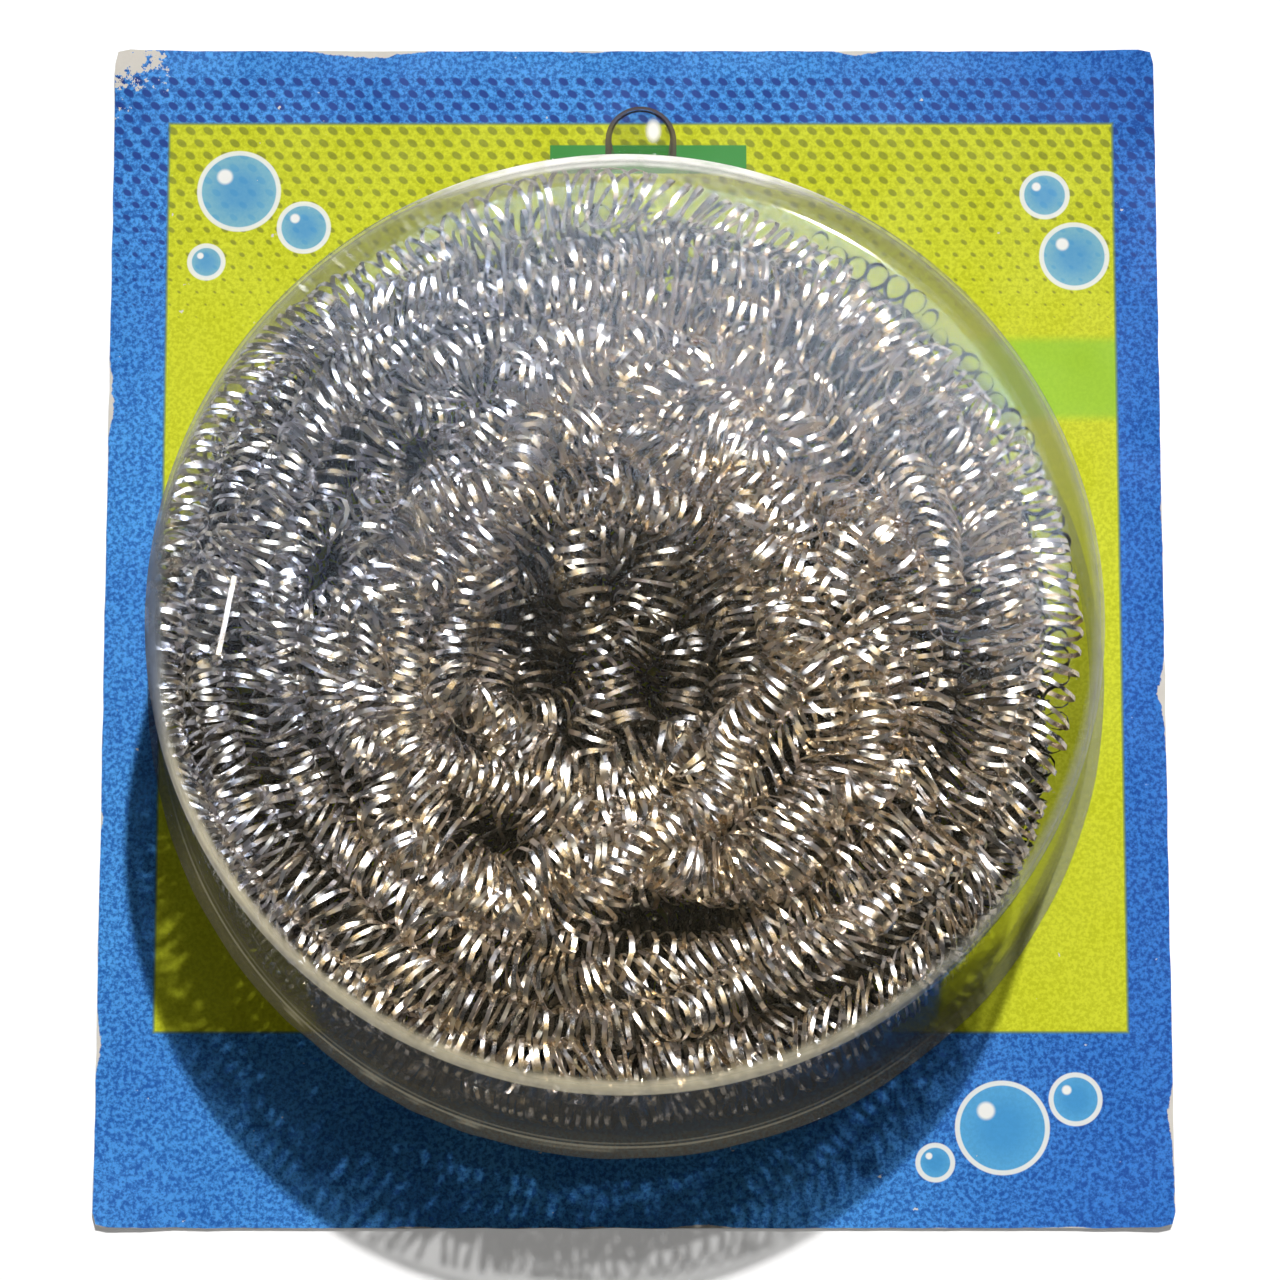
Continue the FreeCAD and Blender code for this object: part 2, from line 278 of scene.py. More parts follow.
def card_material(settings):
    """Printed board: blue border, lime panel, rows of dots, bubbles, and bare paper where it is worn."""
    material, graph = new_material("printed_card")
    place = graph.add("TexCoord", output=3)
    x, y, _ = graph.split(place)
    inside = panel_depth(graph, settings, x, y)
    dots = dot_rows(graph, settings, x, y)
    grain = graph.ramp(graph.noise(place, 2300.0, 2.0, 0.7), 0.36, 0.64)
    clouds = graph.ramp(graph.noise(place, 55.0, 3.0), 0.35, 0.7)
    blue = graph.mix(grain, (0.012, 0.11, 0.43, 1), (0.085, 0.38, 0.88, 1))
    blue = graph.mix(0.1, blue, rgba(settings.blue))
    deeper = graph.either(graph.times(clouds, 0.35), graph.ramp(x, 10 * MM, 50 * MM, 0.0, 0.75))
    blue = graph.mix(deeper, blue, (0.3, 0.45, 0.72, 1), "MULTIPLY")
    blue = graph.mix(dots, blue, (0.012, 0.05, 0.26, 1))
    lime = graph.mix(grain, (0.48, 0.53, 0.01, 1), (0.66, 0.71, 0.03, 1))
    lime = graph.mix(0.2, lime, rgba(settings.lime))
    lime = graph.mix(graph.times(dots, 0.75), lime, (0.17, 0.2, 0.02, 1))
    band = graph.times(
        graph.ramp(x, BAND_START, BAND_FULL), graph.ramp(graph.away(y, BAND_MIDDLE), 4.8 * MM, 3.4 * MM)
    )
    lime = graph.mix(graph.times(band, 0.75), lime, (0.26, 0.56, 0.04, 1))
    block = graph.times(
        graph.ramp(graph.away(x, BLOCK_MIDDLE), BLOCK_HALF, BLOCK_HALF - PRINT_EDGE),
        graph.band(y, BLOCK_LOW, BLOCK_LOW + PRINT_EDGE, BLOCK_TOP, BLOCK_TOP - PRINT_EDGE),
    )
    lime = graph.mix(block, lime, (0.045, 0.25, 0.05, 1))
    ink = graph.mix(graph.ramp(inside, -0.05 * MM, 0.05 * MM), blue, lime)
    outline = graph.ramp(graph.math("ABSOLUTE", inside), 0.2 * MM, 0.08 * MM)
    ink = graph.mix(graph.times(outline, 0.65), ink, (0.1, 0.2, 0.1, 1))
    for across, up, radius in BUBBLES:
        ink = printed_bubble(graph, ink, x, y, across * MM, up * MM, radius * MM)

    fray = graph.noise(place, 620.0, 5.0, 0.7)
    worn = worn_edges(graph, place, x, y, fray)
    paper = graph.mix(fray, rgba(settings.paper), (0.62, 0.6, 0.57, 1))
    ink = graph.mix(worn, ink, paper)
    facing = graph.split(graph.add("NewGeometry", output=3))[2]
    tone = graph.mix(graph.ramp(facing, 0.4, 0.7), paper, ink)

    gloss = graph.ramp(graph.noise(place, 160.0, 3.0), 0.3, 0.75, 0.42, 0.58)
    gloss = graph.plus(gloss, graph.times(worn, 0.35))
    height = graph.plus(graph.noise(place, 900.0, 3.0), graph.times(worn, -0.8))
    shader = graph.add("BsdfPrincipled", {
        "Base Color": tone,
        "Roughness": gloss,
        "Specular IOR Level": 0.08,
        "Normal": graph.bump(height, 0.02 * MM, 0.6),
    })
    graph.finish(shader)
    return material


def panel_depth(graph, settings, x, y):
    """Distance inwards from the panel's outline."""
    depth = graph.minus(x, CARD_LOW.x + settings.panel_left)
    for first, second in (
        (CARD_HIGH.x - settings.panel_right, x),
        (y, CARD_LOW.y + settings.panel_bottom),
        (CARD_HIGH.y - settings.panel_top, y),
    ):
        depth = graph.math("MINIMUM", depth, graph.minus(first, second))
    return depth


def dot_rows(graph, settings, x, y):
    """Staggered rows of dots that shrink away from the card's top."""
    row = graph.math("DIVIDE", y, settings.dot_rise)
    odd = graph.math("MODULO", graph.math("FLOOR", row), 2.0)
    column = graph.plus(graph.math("DIVIDE", x, settings.dot_width), graph.times(odd, 0.5))
    across = graph.times(graph.minus(graph.math("FRACT", column), 0.5), settings.dot_width)
    up = graph.times(graph.minus(graph.math("FRACT", row), 0.5), settings.dot_rise)
    leaning = graph.scale(up, 0.5, across)
    squares = graph.plus(graph.times(leaning, leaning), graph.times(graph.times(up, up), 1.1))
    reach = graph.math("SQRT", squares)
    top = CARD_HIGH.y
    fade = graph.band(y, top - 36 * MM, top - 9 * MM, top - 2.2 * MM, top - 2.8 * MM)
    size = graph.times(fade, 0.46 * MM)
    dots = graph.ramp(graph.minus(size, reach), -PRINT_EDGE, PRINT_EDGE)
    return graph.times(dots, graph.ramp(fade, 0.0, 0.3))


def disc_distance(graph, x, y, across=AXIS.x, up=AXIS.y):
    sides = graph.minus(x, across), graph.minus(y, up)
    return graph.math("SQRT", graph.plus(*(graph.math("POWER", side, 2.0) for side in sides)))


def printed_bubble(graph, ink, x, y, across, up, radius):
    """Pale blue disc with a white rim and a white glint."""
    away = disc_distance(graph, x, y, across, up)
    ink = graph.mix(graph.ramp(away, radius, radius - 0.12 * MM, 0.0, 0.8), ink, (0.1, 0.42, 0.74, 1))
    ink = graph.mix(graph.ramp(away, radius * 0.95, radius * 0.25, 0.0, 0.55), ink, (0.03, 0.25, 0.6, 1))
    rim = graph.ramp(graph.away(away, radius), 0.3 * MM, 0.18 * MM)
    ink = graph.mix(graph.times(rim, 0.9), ink, (0.85, 0.88, 0.86, 1))
    glint = disc_distance(graph, x, y, across - radius * 0.36, up + radius * 0.38)
    return graph.mix(graph.ramp(glint, radius * 0.24, radius * 0.14), ink, (0.88, 0.9, 0.9, 1))


def worn_edges(graph, place, x, y, fray):
    """Where the print is rubbed off: thin along the edges, wider in patches and at the upper left corner."""
    sides = [graph.minus(half, graph.math("ABSOLUTE", value)) for half, value in zip(CARD_HIGH, (x, y))]
    edge = graph.math("MINIMUM", *sides)
    patches = graph.ramp(graph.noise(place, 60.0, 2.0), 0.52, 0.75)
    reach = graph.scale(patches, 0.9 * MM, 0.14 * MM)
    rubbed = graph.minus(graph.times(reach, graph.times(fray, 2.0)), edge)
    corner = disc_distance(graph, x, y, CARD_LOW.x, CARD_HIGH.y)
    torn = graph.minus(graph.times(graph.math("POWER", fray, 2.0), 15.0 * MM), corner)
    specks = graph.minus(graph.noise(place, 700.0, 3.0, 0.6), 0.735)
    worn = graph.ramp(graph.either(rubbed, torn), 0.0, 0.12 * MM)
    return graph.either(worn, graph.ramp(specks, 0.0, 0.02))


# Depths below the cover's face, in mm, at which a haze starts and is full, from below and from above.
SHOULDER_DEPTHS = (4.2, 3.4, 1.2, 2.2)
RIM_DEPTHS = (4.2, 3.4, 0.7, 1.2)
# Depths between which the shoulder blends into the wall.
WALL_DEPTHS = (4.4, 3.4)
# Heights above the cover's foot, in mm, of the painted light line, which glows, at the wall's root.
PAINTED_ROOT_LINE_HEIGHTS = (0.5, 0.65, 1.2, 0.95)
# Haze: plain milky grey; painted warm light at the lower left, where the band glows; a painted white
# highlight at the top; a painted blue-grey sky reflection at the left; and painted dark shade round the lug.
PLAIN_HAZE, PAINTED_WARM_LIGHT = (0.42, 0.43, 0.36, 1), (0.86, 0.78, 0.56, 1)
PAINTED_TOP_HIGHLIGHT, PAINTED_SKY_REFLECTION = (1, 1, 0.97, 1), (0.13, 0.165, 0.24, 1)
PAINTED_LUG_SHADE, PAINTED_LUG_SHADE_TINT = (0.2, 0.16, 0.15, 1), (0.12, 0.11, 0.1, 1)


def below_face(depths):
    return [COVER_HIGH.z - depth * MM for depth in depths]


def cover_material(settings):
    """Clear glossy sheet, nearly see-through, shiny at a slant and milky along its shoulder and flange, with
    painted light and shade: a glowing warm band, a white highlight, a sky reflection, a glowing line at the
    wall's root, and a dark line and a highlight on the lug.
    """
    material, graph = new_material("clear_sheet")
    place = graph.add("TexCoord", output=3)
    x, y, height = graph.split(place)
    across = graph.math("DIVIDE", graph.minus(x, AXIS.x), FLANGE_RADIUS)
    up = graph.math("DIVIDE", graph.minus(y, AXIS.y), FLANGE_RADIUS)
    out = disc_distance(graph, x, y)
    bump = graph.bump(graph.noise(place, 90.0, 2.0), 0.1 * MM, 0.5)
    slant = graph.add("LayerWeight", {"Blend": 0.5, "Normal": bump}, output=1)
    shine = graph.scale(graph.math("POWER", slant, 3.0), 0.4, 0.006)

    # Where light is painted: a white highlight along the top, a blue-grey sky reflection at the left side
    # and warm light at the lower left.
    white = graph.ramp(up, 0.78, 0.9)
    side = graph.times(graph.ramp(across, -0.86, -0.93), graph.band(up, -0.45, -0.2, 0.42, 0.3))
    warm_painted_light = graph.ramp(graph.scale(across, -0.45, graph.times(up, -1.0)), 0.2, 0.9)
    rim = graph.band(height, *below_face(RIM_DEPTHS))
    shoulder = graph.band(height, *below_face(SHOULDER_DEPTHS))
    shoulder = graph.either(shoulder, graph.times(graph.either(white, side), rim))
    tone = PLAIN_HAZE
    for where, haze in ((warm_painted_light, PAINTED_WARM_LIGHT), (white, PAINTED_TOP_HIGHLIGHT), (side, PAINTED_SKY_REFLECTION)):
        tone = graph.mix(where, tone, haze)

    # Milk on the shoulder, more where the painted light goes, and a painted white haze where the face starts
    # to round at the top.
    depth = graph.scale(warm_painted_light, 0.4, 0.3)
    depth = graph.scale(white, 0.5, depth)
    depth = graph.scale(side, 0.4, depth)
    depth = graph.times(depth, graph.ramp(graph.noise(place, 420.0, 3.0), 0.3, 0.7, 0.7, 1.15))
    flat = FLANGE_RADIUS - settings.flange - settings.draft - settings.shoulder
    slope = graph.times(graph.ramp(out, flat, flat + 1.2 * MM, 0.0, 0.15), graph.ramp(up, 0.0, 0.4))
    depth = graph.either(graph.times(shoulder, depth), slope)
    milk = cover_milk(graph, place, height, slant, warm_painted_light, depth)

    # Painted light: the warm band at the lower left, a light line at the wall's root and the white band at
    # the top glow.
    foot = FLANGE_RADIUS - settings.flange
    root = graph.band(height, *(COVER_LOW.z + rise * MM for rise in PAINTED_ROOT_LINE_HEIGHTS))
    root = graph.times(root, graph.ramp(out, foot + 0.6 * MM, foot + 0.4 * MM))
    glow = graph.either(graph.times(shoulder, 0.36), graph.times(root, 0.5))
    glow = graph.times(warm_painted_light, graph.plus(glow, 0.05))
    glow = graph.either(glow, graph.times(graph.times(white, shoulder), 0.3))

    # Painted shade and highlight on the lug: a dark line round its flat top and a pale highlight patch on
    # it.
    lug, edge, painted_highlight = lug_marks(graph, settings, x, y, height, out)
    plain = graph.minus(1.0, lug)
    shine = graph.times(shine, graph.scale(plain, 0.95, 0.05))
    milk = graph.either(graph.times(milk, plain), painted_highlight)
    milk = graph.either(milk, graph.times(edge, 0.5))
    tone = graph.mix(edge, tone, PAINTED_LUG_SHADE)
    tint = graph.mix(graph.times(edge, 0.8), rgba(settings.tint), PAINTED_LUG_SHADE_TINT)

    clear = graph.add("BsdfTransparent", {"Color": tint})
    gloss = graph.add("BsdfPrincipled", {
        "Base Color": (0.93, 0.94, 0.95, 1), "Metallic": 1.0, "Roughness": 0.08, "Normal": bump
    })
    # The haze is shaded as if it faced straight up everywhere, and it glows where light is painted.
    upright = graph.add("CombineXYZ", {2: 1.0})
    haze = graph.add("BsdfPrincipled", {
        "Base Color": tone,
        "Roughness": 1.0,
        "Specular IOR Level": 0.0,
        "Normal": upright,
        "Emission Color": tone,
        "Emission Strength": glow,
    })
    shader = graph.add("MixShader", {0: shine, 1: clear, 2: gloss})
    shader = graph.add("MixShader", {0: milk, 1: shader, 2: haze})
    graph.finish(shader)
    return material


def cover_milk(graph, place, height, slant, warm_painted_light, depth):
    """How milky the sheet is: along its shoulder, by an amount that carries painted light, along its wall,
    more in the painted warm band, and along its flange, in specks and at a slant.
    """
    milk = graph.times(graph.math("POWER", slant, 5.0), 0.1)
    for where, amount in (
        (graph.ramp(height, *below_face(WALL_DEPTHS)), depth),
        (graph.ramp(height, COVER_LOW.z + 1.6 * MM, COVER_LOW.z + 0.8 * MM), 0.22),
        (graph.ramp(height, *below_face(reversed(WALL_DEPTHS))), graph.scale(warm_painted_light, 0.2, 0.05)),
        (graph.ramp(graph.noise(place, 800.0, 2.0), 0.74, 0.78), 0.35),
    ):
        milk = graph.either(milk, graph.times(where, amount))
    return milk


def lug_marks(graph, settings, x, y, height, out):
    """The lug outside the cover's round wall, the painted dark shade line round its flat top and the painted
    highlight patch on it.
    """
    aside = graph.away(x, AXIS.x + settings.lug_offset)
    wall = FLANGE_RADIUS - settings.flange - settings.draft
    lug = graph.times(
        graph.ramp(aside, settings.lug_radius + 0.9 * MM, settings.lug_radius + 0.6 * MM),
        graph.ramp(out, wall + 0.35 * MM, wall + 0.55 * MM),
    )
    lug = graph.times(lug, graph.ramp(y, AXIS.y, AXIS.y + wall / 2))
    top = COVER_HIGH.z - settings.lug_drop
    facing = graph.math("ABSOLUTE", graph.split(graph.add("NewGeometry", output=3))[2])
    edge = graph.times(graph.ramp(height, top - 1.1 * MM, top - 0.9 * MM), graph.ramp(facing, 0.95, 0.9))
    narrow = 1.6
    highlight_x = AXIS.x + settings.lug_offset + 1.2 * MM
    highlight_y = COVER_HIGH.y - 3.9 * MM
    painted_highlight = disc_distance(graph, graph.times(x, narrow), y, highlight_x * narrow, highlight_y)
    painted_highlight = graph.times(graph.ramp(painted_highlight, 1.5 * MM, 0.5 * MM), graph.times(
        graph.ramp(facing, 0.95, 0.99), graph.ramp(height, top - 0.2 * MM, top - 0.1 * MM)
    ))
    return lug, graph.times(lug, edge), graph.times(lug, painted_highlight)


# Depths below the cover's face at which the painted shade on the ribbon starts and is darkest.
PAINTED_SHADE_START, PAINTED_SHADE_FULL = 4.5 * MM, 14.5 * MM
# Painted sky reflection: the steel is tinted cooler towards the upper left: from where, up to where, and by
# what.
SKY_TINT_START, SKY_TINT_FULL, PAINTED_SKY_TINT = 5 * MM, 30 * MM, (0.9, 0.99, 1.18, 1)


def steel_material(settings):
    """Bright rolled ribbon, with painted shade deep inside the bundle and on the loose loops, and a painted
    sky reflection towards the upper left.
    """
    material, graph = new_material("bright_ribbon")
    place = graph.add("TexCoord", output=3)
    cloud = graph.noise(place, 380.0, 2.0)
    tone = graph.mix(graph.ramp(cloud, 0.4, 0.6), rgba(settings.steel), (0.81, 0.67, 0.48, 1))
    x, y, z = graph.split(place)
    # Painted sky reflection: a cooler tint towards the upper left.
    painted_sky_mask = graph.ramp(graph.scale(y, 0.4, graph.times(x, -1.0)), SKY_TINT_START, SKY_TINT_FULL)
    tone = graph.mix(painted_sky_mask, tone, PAINTED_SKY_TINT, "MULTIPLY")
    # Painted shade: the ribbon darkens deep inside the bundle, away from the wall.
    from_wall = graph.minus(FLANGE_RADIUS - 3 * MM, disc_distance(graph, x, y))
    painted_depth_shade = graph.ramp(graph.minus(COVER_HIGH.z, z), PAINTED_SHADE_START, PAINTED_SHADE_FULL)
    painted_depth_shade = graph.times(painted_depth_shade, graph.ramp(from_wall, -1.0 * MM, 5.0 * MM))
    tone = graph.mix(painted_depth_shade, tone, (0.07, 0.06, 0.05, 1))
    # Painted shade: the loose loops are coloured nearly black.
    loose_painted_shade = graph.add("Attribute", output=2, attribute_name="loose_painted_shade")
    tone = graph.mix(loose_painted_shade, tone, (0.02, 0.02, 0.015, 1))
    rough = graph.ramp(graph.noise(place, 900.0, 2.0), 0.3, 0.7, 0.2, 0.36)
    graph.finish(graph.add("BsdfPrincipled", {
        "Base Color": tone, "Metallic": 1.0, "Roughness": rough
    }))
    return material


# Wear of the card: depth of its nibbled outline, cut and reach of its corners, and their lift in mm.
NIBBLE, CORNER_CUT, CORNER_REACH, TOP_LIFT, BOTTOM_LIFT = 0.22 * MM, 0.3 * MM, 13 * MM, 0.9, 0.5


class SCRUBBER_OT_card(bpy.types.Operator):
    """Build the printed backing card"""

    bl_idname = "scrubber.card"
    bl_label = "Backing Card"
    bl_options = {"REGISTER", "UNDO"}

    def execute(self, context):
        settings = context.scene.scrubber_card
        deselect_all()
        width, height, depth = CARD_HIGH - CARD_LOW
        middle = (CARD_LOW + CARD_HIGH) / 2
        bpy.ops.mesh.primitive_grid_add(x_subdivisions=66, y_subdivisions=74, size=1, location=(0, 0, 0))
        card = name_piece("card")
        start_editing()
        bpy.ops.transform.resize(value=(width, height, 1))
        bpy.ops.transform.translate(value=(middle.x, middle.y, CARD_LOW.z))
        stop_editing()
        self.wear_outline(card)
        give_thickness(card, "board", depth, 1, 35)
        declare(card, "card", "backing_card", card_material(settings))
        return {"FINISHED"}

    def wear_outline(self, card):
        """Nibble the board's outline and lift its corners a little."""
        for vertex in card.data.vertices:
            x, y, _ = vertex.co
            edge_x, edge_y = CARD_HIGH.x - abs(x), CARD_HIGH.y - abs(y)
            nibble = 0.5 + 0.5 * noise.noise((x * 300, y * 300, 3.1))
            at_x, at_y = edge_x < 0.1 * MM, edge_y < 0.1 * MM
            if at_x:
                vertex.co.x -= math.copysign(nibble * NIBBLE, x)
            if at_y:
                vertex.co.y -= math.copysign(nibble * NIBBLE, y)
            if at_x and at_y:
                vertex.co.x -= math.copysign(CORNER_CUT, x)
                vertex.co.y -= math.copysign(CORNER_CUT, y)
            corner = max(0.0, 1 - math.hypot(edge_x, edge_y) / CORNER_REACH)
            lift = TOP_LIFT if y > 0 else BOTTOM_LIFT
            vertex.co.z += lift * MM * corner * corner


class SCRUBBER_OT_cover(bpy.types.Operator):
    """Build the clear formed cover"""

    bl_idname = "scrubber.cover"
    bl_label = "Clear Cover"
    bl_options = {"REGISTER", "UNDO"}

    def execute(self, context):
        settings = context.scene.scrubber_cover
        deselect_all()
        rows = self.profile(settings)
        radius, height = rows[0]
        bpy.ops.mesh.primitive_circle_add(
            vertices=settings.segments, radius=radius, fill_type="NOTHING", location=(0, 0, 0)
        )
        cover = name_piece("cover")
        start_editing()
        bpy.ops.transform.translate(value=(AXIS.x, AXIS.y, height))
        for next_radius, next_height in rows[1:]:
            bpy.ops.mesh.extrude_region_move(TRANSFORM_OT_translate={"value": (0, 0, next_height - height)})
            scale = next_radius / radius
            bpy.ops.transform.resize(value=(scale, scale, 1), center_override=(AXIS.x, AXIS.y, next_height))
            radius, height = next_radius, next_height
        bpy.ops.mesh.merge(type="CENTER")
        bpy.ops.mesh.select_all(action="SELECT")
        bpy.ops.mesh.remove_doubles(threshold=1e-6)
        bpy.ops.mesh.normals_make_consistent(inside=False)
        stop_editing()
        self.pull_lug(cover, settings)
        self.ruffle_flange(cover, settings)
        give_thickness(cover, "wall", settings.wall, -1, 40)
        declare(cover, "cover", "blister_cover", cover_material(settings))
        return {"FINISHED"}

    def profile(self, settings):
        """Outside of the cover from the flange's rim over the shoulder to the middle of the face."""
        foot = COVER_LOW.z + settings.wall
        face = COVER_HIGH.z
        base_radius = FLANGE_RADIUS - settings.flange
        rows = [(FLANGE_RADIUS, foot), (FLANGE_RADIUS - settings.flange * 0.5, foot)]
        root = 0.6 * MM
        for step in range(4):
            turn = math.pi / 2 * step / 3
            rows.append((base_radius + root * (1 - math.sin(turn)), foot + root * (1 - math.cos(turn))))
        wall_rows = 9
        wall_top = face - settings.shoulder
        wall_low = foot + root
        lug_top = face - settings.lug_drop
        heights = [wall_low + (wall_top - wall_low) * step / wall_rows for step in range(1, wall_rows)]
        heights += [lug_top - settings.lug_edge, lug_top - 0.02 * MM, lug_top + 0.12 * MM]
        for height in sorted(heights):
            lean = (height - foot) / (face - foot)
            rows.append((base_radius - settings.draft * lean, height))
        top_radius = base_radius - settings.draft * (wall_top - foot) / (face - foot)
        for step in range(9):
            turn = math.pi / 2 * step / 8
            inset, rise = settings.shoulder * (1 - math.cos(turn)), settings.shoulder * math.sin(turn)
            rows.append((top_radius - inset, wall_top + rise))
        inner = rows[-1][0]
        for part in (0.9, 0.7, 0.45, 0.2):
            rows.append((inner * part, face))
        return rows

    def pull_lug(self, cover, settings):
        """Push the wall out to the half-round outline of the lug, below the lug's flat top."""
        base_radius = FLANGE_RADIUS - settings.flange
        top = COVER_HIGH.z - settings.lug_drop
        centre_x = AXIS.x + settings.lug_offset
        centre_y = AXIS.y + base_radius + settings.lug_reach - settings.lug_radius
        for vertex in cover.data.vertices:
            x, y, z = vertex.co
            out = math.hypot(x - AXIS.x, y - AXIS.y)
            aside = (x - centre_x) * base_radius / out
            if y < AXIS.y or z > top or abs(aside) > settings.lug_radius:
                continue
            grow = max(0.0, out - base_radius) if z < COVER_LOW.z + 1.2 * MM else 0.0
            if z > top - settings.lug_edge * 0.5:
                grow = -settings.lug_edge
            radius = settings.lug_radius + grow
            side = centre_y - math.sqrt(out * out - radius * radius) - AXIS.y
            path = math.pi * radius + 2 * side
            along = path * aside / (2 * settings.lug_radius)
            round_half = math.pi * radius / 2
            if abs(along) < round_half:
                turn = along / radius
                vertex.co.x = centre_x + radius * math.sin(turn)
                vertex.co.y = centre_y + radius * math.cos(turn)
            else:
                vertex.co.x = centre_x + math.copysign(radius, along)
                vertex.co.y = centre_y - (abs(along) - round_half)

    def ruffle_flange(self, cover, settings):
        """Lift and trim the flange unevenly, most at the lower left."""
        base_radius = FLANGE_RADIUS - settings.flange
        for vertex in cover.data.vertices:
            x, y, z = vertex.co
            out = math.hypot(x - AXIS.x, y - AXIS.y)
            if out < base_radius + 0.1 * MM or z > COVER_LOW.z + 2 * MM:
                continue
            angle = math.atan2(y - AXIS.y, x - AXIS.x)
            spread = (out - base_radius) / settings.flange
            low_left = max(0.0, math.cos(angle - math.radians(-118))) ** 6
            wave = noise.noise((math.cos(angle) * 5, math.sin(angle) * 5, 1.7))
            ruffle = noise.noise((math.cos(angle) * 14, math.sin(angle) * 14, 4.2))
            lift = 0.12 + 0.12 * wave + low_left * max(0.0, 0.35 + 0.9 * ruffle)
            trim = (0.3 + 0.3 * wave) * spread * MM
            vertex.co.z += lift * spread * MM
            shrink = 1 - trim / out
            vertex.co.x = AXIS.x + (x - AXIS.x) * shrink
            vertex.co.y = AXIS.y + (y - AXIS.y) * shrink


class WildPlan(NamedTuple):
    """How a strand strays: its nearest and farthest reach from the axis in mm, its steps and its swirl."""

    near: float
    far: float
    steps: int
    swirl: float


class StrandPlan(NamedTuple):
    """How one strand is wound: its node, the slots that its rounds fill and how loosely they lie."""

    node: str
    slots: tuple
    wander: float
    seed: int
    wild: WildPlan = None
    dense: bool = False


# How the turns of a coil stray: amount, waves in a millimetre and number of each noise.
BUNCHING = ((6.5, 0.05, 1), (1.3, 0.17, 2))
SWELLING = ((0.25, 0.08, 3), (0.14, 0.5, 7))
LEANING_Y = ((0.8, 0.06, 4), (0.5, 0.45, 8))
LEANING_Z = ((0.8, 0.06, 5), (0.5, 0.45, 9))
TILTING = ((0.9, 0.09, 6), (0.9, 0.5, 10))
WOBBLE, WOBBLE_SEED = 0.4 * MM, 7


def towards(angle):
    return Vector((math.cos(angle), math.sin(angle)))


def stray(waves, along):
    return sum(amount * noise.noise((along * rate, 7.3 * number, 0.5)) for amount, rate, number in waves)


# Places of a strand's rounds across its bundle, in mm outwards and upwards from the bundle's middle.
LOWER_SLOTS = (
    (-4.2, -5.4), (0.2, -5.6), (4.6, -5.4), (4.6, -0.4), (0.0, 0.0), (-4.2, 0.2), (-4.0, 5.4), (4.4, 5.2),
)
UPPER_SLOTS = (
    (-4.4, -5.0), (0.2, -5.2), (4.4, -4.8), (2.4, -0.6), (-2.4, -0.4), (-4.7, 4.4), (0.1, 5.6), (4.6, 4.8),
)
STRANDS = (
    StrandPlan("outer_lower_strand", LOWER_SLOTS, 1.0, 11, dense=True),
    StrandPlan("outer_upper_strand", UPPER_SLOTS, 0.9, 12),
    StrandPlan("middle_lower_strand", LOWER_SLOTS, 1.2, 13, dense=True),
    StrandPlan("middle_upper_strand", UPPER_SLOTS, 1.3, 14, wild=WildPlan(13.0, 30.5, 290, 0.3)),
    StrandPlan("inner_lower_strand", LOWER_SLOTS, 1.4, 15, dense=True),
    StrandPlan("inner_upper_strand", UPPER_SLOTS, 1.4, 16, wild=WildPlan(0.0, 18.0, 150, 0.0)),
)
# Slow swings of a strand's rounds: swings in one round, and reach outwards and upwards in mm.
SWINGS = ((2.37, 1.2, 0.8), (4.71, 0.9, 0.9))
# The scrubber lies against the lower left of its cover.
LEAN = Vector((-1.7, -1.5)) * MM
# Ring radius for each point of a round, and the share of a round in which it changes slots.
RING_STEP, SLOT_CHANGE = 1.45 * MM, 0.25
# Length of one step of a straying strand, its lowest and highest rise, and its sharpest turn at the edge.
STRIDE, LOWEST_RISE, HIGHEST_RISE, SHARPEST_TURN = 7.0 * MM, -6.0, 5.5, 1.3
# The middle sinks inside this reach from the axis, in mm, at this slope.
SUNK_REACH, SUNK_SLOPE = 17.0, 0.2
# Loose loops at the upper right: number of points, first angle and step in degrees, reach and height in mm.
LOOP_POINTS, LOOP_FIRST, LOOP_STEP, LOOP_REACH, LOOP_HEIGHT = 20, -22, 4.6, 41.6, 27.0
LOOP_RADIUS, LOOP_PITCH = 1.6 * MM, 2.3 * MM
# The lower strands are wound closer, with fewer divisions in a turn.
DENSE_PITCH, DENSE_STEPS = 0.73, 2
# How far the loops of a coil along X lean over, how flat they end up and how fast they twist.
LOOP_LEAN, LOOP_FLAT, LOOP_TWIST = 1.0, 0.2, 0.9 / MM
# Straight end of ribbon: length, turn about Z, tilt about X and place.
END_LENGTH, END_TURN, END_TILT = 7.6 * MM, math.radians(11), math.radians(-4)
END_PLACE = Vector((-38.0 * MM, -6.0 * MM, COVER_HIGH.z - 1.0 * MM))


